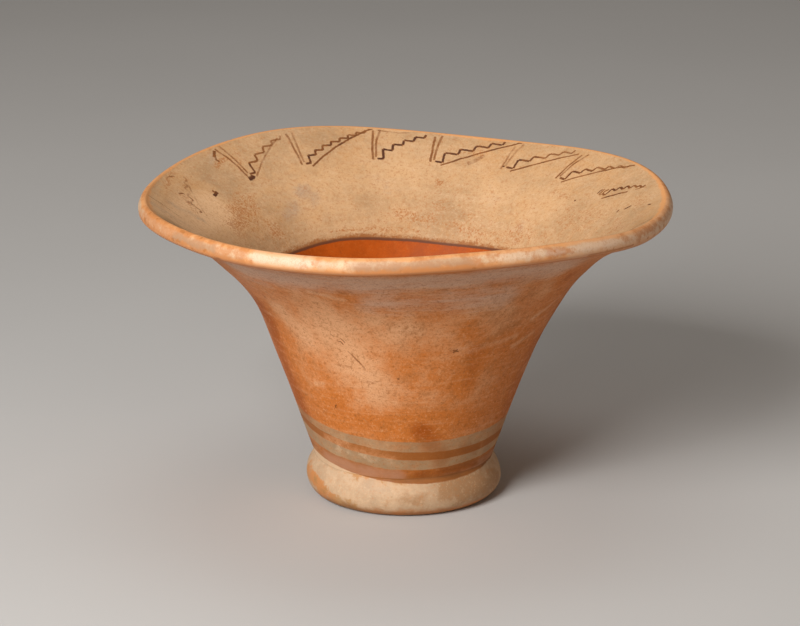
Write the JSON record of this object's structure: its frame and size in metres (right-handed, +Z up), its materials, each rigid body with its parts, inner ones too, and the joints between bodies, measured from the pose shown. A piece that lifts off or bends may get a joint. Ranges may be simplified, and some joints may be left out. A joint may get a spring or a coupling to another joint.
{
  "type": "flaring bowl",
  "caption": "Wide flaring pottery bowl with a thick rounded lip, a narrow steep-sided well and a hollow bulging ring foot.",
  "frame": {"origin": "centre of the foot's resting face", "axes": "+Z up through the mouth of the bowl, -Y towards the picture's viewer, +X to the viewer's right"},
  "size_m": [0.3296, 0.3296, 0.1987],
  "materials": {
    "cream_slip_foot": "burnished cream slip, worn to orange clay at the edges",
    "bare_clay": "unslipped fired clay, matte",
    "orange_slip": "burnished orange slip",
    "banded_wall": "burnished orange slip with painted cream bands",
    "flare_wall": "cream slip inside with fine brown painted ornament, orange slip outside",
    "cream_slip_lip": "burnished cream slip, worn along the edges"
  },
  "bodies": {
    "root": {"foot_ring": "cream_slip_foot", "foot_luting_coil": "bare_clay", "floor_disc": "bare_clay", "floor_fillet_coil": "orange_slip", "lower_wall": "banded_wall", "middle_wall": "orange_slip", "upper_wall": "flare_wall", "rim_lip": "cream_slip_lip"}
  },
  "joints": []
}
